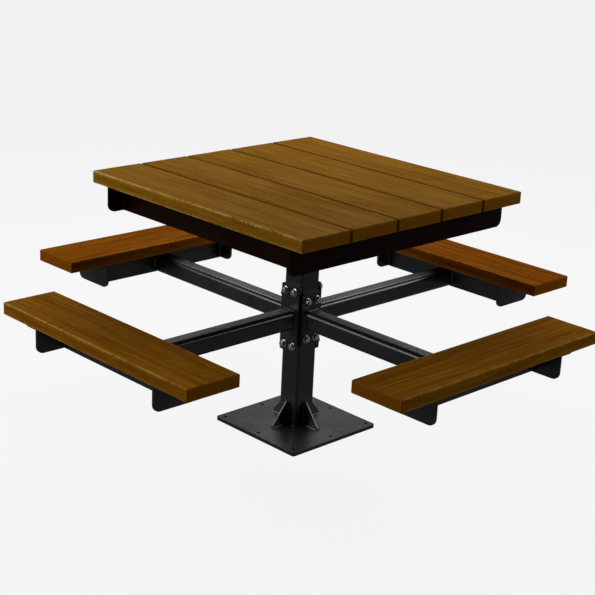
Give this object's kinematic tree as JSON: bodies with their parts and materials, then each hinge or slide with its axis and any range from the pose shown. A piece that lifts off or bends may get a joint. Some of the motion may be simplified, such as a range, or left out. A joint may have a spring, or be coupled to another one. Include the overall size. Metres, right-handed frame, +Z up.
{
  "type": "picnic table",
  "caption": "Square pedestal picnic table with a plank top and plank seats on steel arms bolted to one post over a square base plate.",
  "frame": {"origin": "centre of the base plate's underside, on the ground", "axes": "+Z up, +X along the tabletop boards towards the right seat, +Y towards the back seat"},
  "size_m": [1.596, 1.596, 0.79],
  "materials": {
    "planks": "satin stain",
    "steel_frame": "satin powder coat",
    "fasteners": "zinc plated"
  },
  "bodies": {
    "root": {"arm_bolt_front_1": "fasteners", "arm_bolt_front_2": "fasteners", "arm_bolt_front_3": "fasteners", "arm_bolt_front_4": "fasteners", "arm_bolt_right_1": "fasteners", "arm_bolt_right_2": "fasteners", "arm_bolt_right_3": "fasteners", "arm_bolt_right_4": "fasteners", "arm_flange_back": "steel_frame", "arm_flange_front": "steel_frame", "arm_flange_left": "steel_frame", "arm_flange_right": "steel_frame", "arm_nut_back_1": "fasteners", "arm_nut_back_2": "fasteners", "arm_nut_back_3": "fasteners", "arm_nut_back_4": "fasteners", "arm_nut_left_1": "fasteners", "arm_nut_left_2": "fasteners", "arm_nut_left_3": "fasteners", "arm_nut_left_4": "fasteners", "base_gusset_back": "steel_frame", "base_gusset_front": "steel_frame", "base_gusset_left": "steel_frame", "base_gusset_right": "steel_frame", "base_plate": "steel_frame", "pedestal_post": "steel_frame", "post_top_plate": "steel_frame", "seat_arm_back": "steel_frame", "seat_arm_front": "steel_frame", "seat_arm_left": "steel_frame", "seat_arm_right": "steel_frame", "seat_board_back": "planks", "seat_board_front": "planks", "seat_board_left": "planks", "seat_board_right": "planks", "seat_end_bracket_back_1": "steel_frame", "seat_end_bracket_back_2": "steel_frame", "seat_end_bracket_front_1": "steel_frame", "seat_end_bracket_front_2": "steel_frame", "seat_end_bracket_left_1": "steel_frame", "seat_end_bracket_left_2": "steel_frame", "seat_end_bracket_right_1": "steel_frame", "seat_end_bracket_right_2": "steel_frame", "seat_rail_back": "steel_frame", "seat_rail_front": "steel_frame", "seat_rail_left": "steel_frame", "seat_rail_right": "steel_frame", "table_board_1": "planks", "table_board_2": "planks", "table_board_3": "planks", "table_board_4": "planks", "table_board_5": "planks", "table_center_channel_left": "steel_frame", "table_center_channel_right": "steel_frame", "table_cross_member_left": "steel_frame", "table_cross_member_right": "steel_frame", "table_side_rail_back": "steel_frame", "table_side_rail_front": "steel_frame"}
  },
  "joints": []
}
